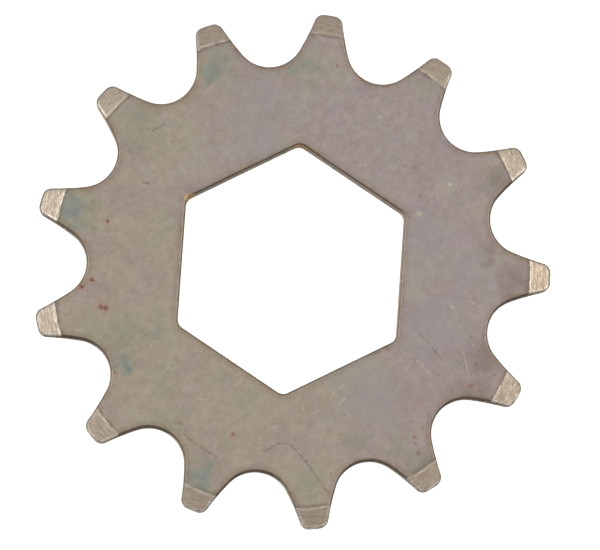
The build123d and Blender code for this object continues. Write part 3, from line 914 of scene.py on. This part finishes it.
# the grey line is partly uncut edge and partly painted shade, widest on the side away from the painted
# highlight
uncut_and_shade_width = node(tree, "ShaderNodeMapRange", {
    "Value": painted_light_way, "From Min": -0.5, "From Max": 0.3, "To Min": 0.55, "To Max": 0.13})
uncut_and_shade_width = node(tree, "ShaderNodeMath", {
    0: uncut_and_shade_width, 1: broken_up, 2: UNCUT_AND_SHADE_LEAST}, operation="MULTIPLY_ADD")
uncut_and_shade = node(tree, "ShaderNodeMapRange", {
    "Value": edge.outputs["Fac"], "From Min": UNCUT_AND_SHADE_FROM, "From Max": uncut_and_shade_width,
    "To Min": 0.7, "To Max": 0.0})
cut_colour = node(tree, "ShaderNodeMix", {
    0: uncut_and_shade, 6: cut_colour, 7: colour("#7C7875")}, data_type="RGBA")
tree.links.new(cut_colour.outputs[2], shader.inputs["Base Color"])
print(f"the burr is bright for {BURR_HIGHLIGHT_TO} mm, the lip for {LIP_HIGHLIGHT_TO} mm")

# %% Turned steel: gloss, tangent and bump
RING_BUMP = 0.06  # mm
gloss = node(tree, "ShaderNodeMapRange", {
    "Value": flecks, "From Min": 0.35, "From Max": 0.65, "To Min": 0.42, "To Max": 0.26})
tree.links.new(gloss.outputs[0], shader.inputs["Roughness"])
round_shaft = node(tree, "ShaderNodeVectorMath", {0: (0, 0, 1), 1: place}, operation="CROSS_PRODUCT")
tangent = node(tree, "ShaderNodeVectorMath", {0: round_shaft}, operation="NORMALIZE")
tree.links.new(tangent.outputs[0], shader.inputs["Tangent"])
bump = node(tree, "ShaderNodeBump", {"Height": cut, "Strength": 1.0, "Distance": RING_BUMP * MM})
tree.links.new(bump.outputs[0], shader.inputs["Normal"])
print("turned steel has", len(tree.nodes), "nodes")

# %% [markdown]
# ## Sheared steel
# A punch makes a plate's walls in two steps. First it burnishes them, then the rest
# tears away and is left matt and grey-brown with oxide. Both leave streaks in the
# direction the punch travelled, through the thickness. So the noise is squeezed
# round the wall to 0.2 mm and drawn out along the shaft's axis to several millimetres.
# Painted light makes the walls that face one way much lighter, and painted shade darkens
# every wall towards both faces. The bore's walls are a little lighter than the teeth's,
# and on one side old grease has dried in the bore's corners.

# %% Sheared steel: streaks and stains
STREAK_WIDTH = 0.2  # mm
STREAK_LENGTH = 5.0  # mm
STAIN_SIZE = 2.5  # mm
WALL_SHADE_FROM, WALL_SHADE_TO = 0.95, 1.3  # mm from the plate's middle, where painted shade darkens the wall towards its faces
sheared, tree, shader, place = steel("sheared steel", 0.55)
shader.inputs["Specular Tint"].default_value = colour("#A8A099")
squeezed = node(tree, "ShaderNodeMapping", {
    "Vector": place, "Scale": (1 / STREAK_WIDTH, 1 / STREAK_WIDTH, 1 / STREAK_LENGTH)})
streaks = node(tree, "ShaderNodeTexNoise", {
    "Vector": squeezed, "Scale": 1.0, "Detail": 3.0, "Roughness": 0.6})
torn = node(tree, "ShaderNodeMapRange", {"Value": streaks, "From Min": 0.35, "From Max": 0.65})
wall_colour = node(tree, "ShaderNodeMix", {
    0: torn, 6: colour("#4C4640"), 7: colour("#8E857B")}, data_type="RGBA")
stains = node(tree, "ShaderNodeTexNoise", {"Vector": place, "Scale": 1 / STAIN_SIZE, "Detail": 2.0})
axes = node(tree, "ShaderNodeSeparateXYZ", {0: place})
from_middle = node(tree, "ShaderNodeMath", {0: axes.outputs["Z"]}, operation="ABSOLUTE")
# real stains, then painted shade that darkens the wall towards both faces
for pattern, begins, full, hex_code in (
    (stains, 0.5, 0.75, "#66543F"), (from_middle, WALL_SHADE_FROM, WALL_SHADE_TO, "#1C1612"),
):
    stain_and_shade = node(tree, "ShaderNodeMapRange", {
        "Value": pattern, "From Min": begins, "From Max": full, "To Max": 0.7})
    wall_colour = node(tree, "ShaderNodeMix", {
        0: stain_and_shade, 6: wall_colour, 7: colour(hex_code)}, data_type="RGBA")
print(f"punch streaks {STREAK_WIDTH} mm wide and {STREAK_LENGTH} mm long")

# %% Sheared steel: painted wall light, a lighter bore and grease
LIT_WALL_SIDE = radians(255)  # the way the walls face that painted light makes lighter
GREASY_SIDE = radians(185)  # the side of the bore whose corners hold most grease
BORE_REACH = 15.0  # mm from the axis, beyond the bore's corners and short of the gaps
CORNER_FROM, CORNER_TO = 13.3, 13.6  # mm from the axis, where the bore's corners begin
GREASE_SPREAD = 9.0  # mm across the bore, over which the grease sets in
from_axis = off_axis(tree, place)
in_bore = node(tree, "ShaderNodeMath", {0: from_axis, 1: BORE_REACH}, operation="LESS_THAN")
# the bore's walls are made lighter than the teeth's
bore_lighter = node(tree, "ShaderNodeMath", {0: in_bore, 1: 0.4}, operation="MULTIPLY")
painted_wall_light = node(tree, "ShaderNodeMapRange", {
    "Value": wall_towards(tree, LIT_WALL_SIDE), "From Min": 0.6, "From Max": 0.95, "To Max": 0.75},
    interpolation_type="SMOOTHSTEP")
in_corner = node(tree, "ShaderNodeMapRange", {
    "Value": from_axis, "From Min": CORNER_FROM, "From Max": CORNER_TO, "To Max": 0.6})
grease = node(tree, "ShaderNodeMath", {0: in_corner, 1: in_bore}, operation="MULTIPLY")
greasy_way = (cos(GREASY_SIDE), sin(GREASY_SIDE), 0)
greasy_side = node(tree, "ShaderNodeVectorMath", {0: place, 1: greasy_way}, operation="DOT_PRODUCT")
greasy_side = node(tree, "ShaderNodeMapRange", {
    "Value": greasy_side, "From Min": 0.0, "From Max": GREASE_SPREAD, "To Min": 0.15})
grease = node(tree, "ShaderNodeMath", {0: grease, 1: greasy_side}, operation="MULTIPLY")
# the bore made lighter, painted light on the walls facing one way, and grease in the corners
for amount, hex_code in ((bore_lighter, "#9C958D"), (painted_wall_light, "#B8AC9B"), (grease, "#A08458")):
    wall_colour = node(tree, "ShaderNodeMix", {
        0: amount, 6: wall_colour, 7: colour(hex_code)}, data_type="RGBA")
tree.links.new(wall_colour.outputs[2], shader.inputs["Base Color"])
print(f"the bore's corners lie beyond {CORNER_FROM} mm, the nearest tooth gap at {ROOT_RADIUS:.1f} mm")

# %% Sheared steel: roughness and bump
STREAK_BUMP = 0.03  # mm
gloss = node(tree, "ShaderNodeMapRange", {
    "Value": streaks, "From Min": 0.3, "From Max": 0.7, "To Min": 0.65, "To Max": 0.4})
tree.links.new(gloss.outputs[0], shader.inputs["Roughness"])
bump = node(tree, "ShaderNodeBump", {
    "Height": streaks, "Strength": 0.8, "Distance": STREAK_BUMP * MM})
tree.links.new(bump.outputs[0], shader.inputs["Normal"])
print("sheared steel has", len(tree.nodes), "nodes")

# %% [markdown]
# ## Building the wheel
# The node tree is hung on an empty mesh, its sizes are set by their identifiers, and
# the result is taken as a plain mesh. That mesh takes the place of the CAD solid and
# rides on the one body that a part without joints has.

# %% Build the plate
tree = sprocket_tree("Sprocket plate", heat_tinted, turned_steel, sheared)
plate = bpy.data.objects.new("sprocket_skin", bpy.data.meshes.new("sprocket_skin"))
bpy.context.scene.collection.objects.link(plate)
wrap = plate.modifiers.new("Wrap", "NODES")
wrap.node_group = tree
sizes = {socket.name: socket.identifier for socket in tree.interface.items_tree if socket.in_out == "INPUT"}
wrap[sizes["Half thickness"]] = HALF_PLATE * MM
bpy.context.view_layer.update()
evaluated = plate.evaluated_get(bpy.context.evaluated_depsgraph_get())
skin = bpy.data.meshes.new_from_object(evaluated)
plate.modifiers.clear()
plate.data = skin
print(f"{len(skin.polygons)} faces, {sum(len(face.vertices) - 2 for face in skin.polygons)} triangles")
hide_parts("sprocket_plate")
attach(plate, "root")

# %% [markdown]
# ## A table lit from below
# Small parts are often laid on white acrylic with a lamp under it, because that takes
# away the shadow and leaves only the outline. Here the floor is one large square, a
# little bright of itself, level with the lower face of the plate.

# %% Floor
FLOOR_SIZE = 3.0  # m
corners = [
    (x * FLOOR_SIZE / 2, y * FLOOR_SIZE / 2, plate_low.z) for x, y in ((-1, -1), (1, -1), (1, 1), (-1, 1))
]
floor_mesh = bpy.data.meshes.new("floor")
floor_mesh.from_pydata(corners, [], [(0, 1, 2, 3)])
floor = bpy.data.objects.new("floor", floor_mesh)
bpy.context.scene.collection.objects.link(floor)
acrylic = bpy.data.materials.new("opal acrylic")
acrylic.use_nodes = True
shader = acrylic.node_tree.nodes["Principled BSDF"]
for socket, value in (
    ("Base Color", colour("#E6E6E6")), ("Roughness", 0.9), ("Specular IOR Level", 0.0),
    ("Emission Color", colour("#FFFFFF")), ("Emission Strength", 0.8),
):
    shader.inputs[socket].default_value = value
floor_mesh.materials.append(acrylic)
print(f"the floor lies {-plate_low.z / MM:.2f} mm below the plate's middle")

# %% [markdown]
# ## The camera, nearly overhead
# The wheel lies flat and is seen from half a metre above, a few degrees off the shaft's
# axis, so thin slivers of wall show along one side of each gap. The view is built up
# backwards, as what it does to the wheel: turn it, lean it twice, push it away.

# %% Camera
PICTURE_WIDTH = 600
PICTURE_HEIGHT = 550
TOOTH_FROM_UP = radians(64.12)  # how far clockwise from up the first tooth lies
LEAN_UP = radians(5.22)
LEAN_SIDE = radians(1.6)
CAMERA_DISTANCE = 553.4  # mm
PIXELS_PER_MM = 9.035
WHEEL_PIXEL = (291.0, 270.4)  # where the middle of the bore is seen
SENSOR_WIDTH = 36.0  # mm
right = (WHEEL_PIXEL[0] - PICTURE_WIDTH / 2) / PIXELS_PER_MM * MM
up = (PICTURE_HEIGHT / 2 - WHEEL_PIXEL[1]) / PIXELS_PER_MM * MM
view = (
    Matrix.Translation((right, up, -CAMERA_DISTANCE * MM))
    @ Matrix.Rotation(LEAN_SIDE, 4, "Y")
    @ Matrix.Rotation(-LEAN_UP, 4, "X")
    @ Matrix.Rotation(-TOOTH_FROM_UP, 4, "Z")
)
lens = bpy.data.cameras.new("camera")
lens.sensor_width = SENSOR_WIDTH
lens.lens = SENSOR_WIDTH * PIXELS_PER_MM * CAMERA_DISTANCE / PICTURE_WIDTH
lens.clip_start = 0.01
camera = bpy.data.objects.new("camera", lens)
camera.matrix_world = view.inverted()
bpy.context.scene.collection.objects.link(camera)
bpy.context.scene.camera = camera
print("lens", round(lens.lens, 1), "mm")

# %% [markdown]
# ## Two softboxes and a white room
# Even light from a white room gives the flat faces one quiet tone. The chamfers slope by
# fifteen degrees, so what they mirror is thirty degrees off the axis. A softbox at each
# side, leaning by about that, lights the chamfers at the left and right and leaves
# those at the top and bottom as dull as the faces. The left one is a trace cooler than
# the right, so that the bright chamfers differ a little in hue. The room is brightest
# ten degrees off the zenith and dim towards the horizon, which keeps the walls dark.

# %% Softboxes
SOFTBOX_LEAN = radians(34)
SOFTBOX_DISTANCE = 0.8  # m
SOFTBOX_SIZE = 0.35  # m
SOFTBOX_RADIANCE = 2.85
to_wheel = Matrix.Rotation(TOOTH_FROM_UP, 4, "Z")

# name, bearing anticlockwise from the view's right, and tint
for name, bearing, tint in (
    ("left softbox", radians(167), "#FAFFFF"), ("right softbox", radians(8), "#FFFAF0"),
):
    lamp_data = bpy.data.lights.new(name, "AREA")
    lamp_data.shape = "SQUARE"
    lamp_data.size = SOFTBOX_SIZE
    lamp_data.energy = SOFTBOX_RADIANCE * pi * SOFTBOX_SIZE**2
    lamp_data.color = colour(tint)[:3]
    lamp = bpy.data.objects.new(name, lamp_data)
    bpy.context.scene.collection.objects.link(lamp)
    level_aim = Vector((cos(bearing), sin(bearing), 0)) * sin(SOFTBOX_LEAN)
    aim = to_wheel @ (level_aim + Vector((0, 0, cos(SOFTBOX_LEAN))))
    turned = aim.to_track_quat("Z", "Y").to_matrix().to_4x4()
    lamp.matrix_world = Matrix.Translation(aim * SOFTBOX_DISTANCE) @ turned
    print(name, "stands at", [round(side, 2) for side in lamp.matrix_world.translation], "m")

# %% White room
CEILING_LEAN = radians(10)  # the bright part of the room leans away from the camera
CEILING_LIGHT, HORIZON_LIGHT = 0.88, 0.15
room = bpy.data.worlds.new("white room")
room.use_nodes = True
sky = room.node_tree.nodes["Background"]
looking = node(room.node_tree, "ShaderNodeTexCoord")
overhead = to_wheel @ Vector((0, sin(CEILING_LEAN), cos(CEILING_LEAN)))
height = node(room.node_tree, "ShaderNodeVectorMath", {
    0: looking.outputs["Generated"], 1: overhead}, operation="DOT_PRODUCT")
lit = node(room.node_tree, "ShaderNodeMapRange", {
    "Value": height, "From Min": 0.15, "From Max": 0.65, "To Min": HORIZON_LIGHT, "To Max": CEILING_LIGHT},
    interpolation_type="SMOOTHSTEP")
room.node_tree.links.new(lit.outputs[0], sky.inputs["Strength"])
sky.inputs["Color"].default_value = colour("#FFFFFF")
bpy.context.scene.world = room
bpy.context.scene.view_settings.view_transform = "Standard"
print("the room's light runs from", HORIZON_LIGHT, "at the horizon to", CEILING_LIGHT, "overhead")
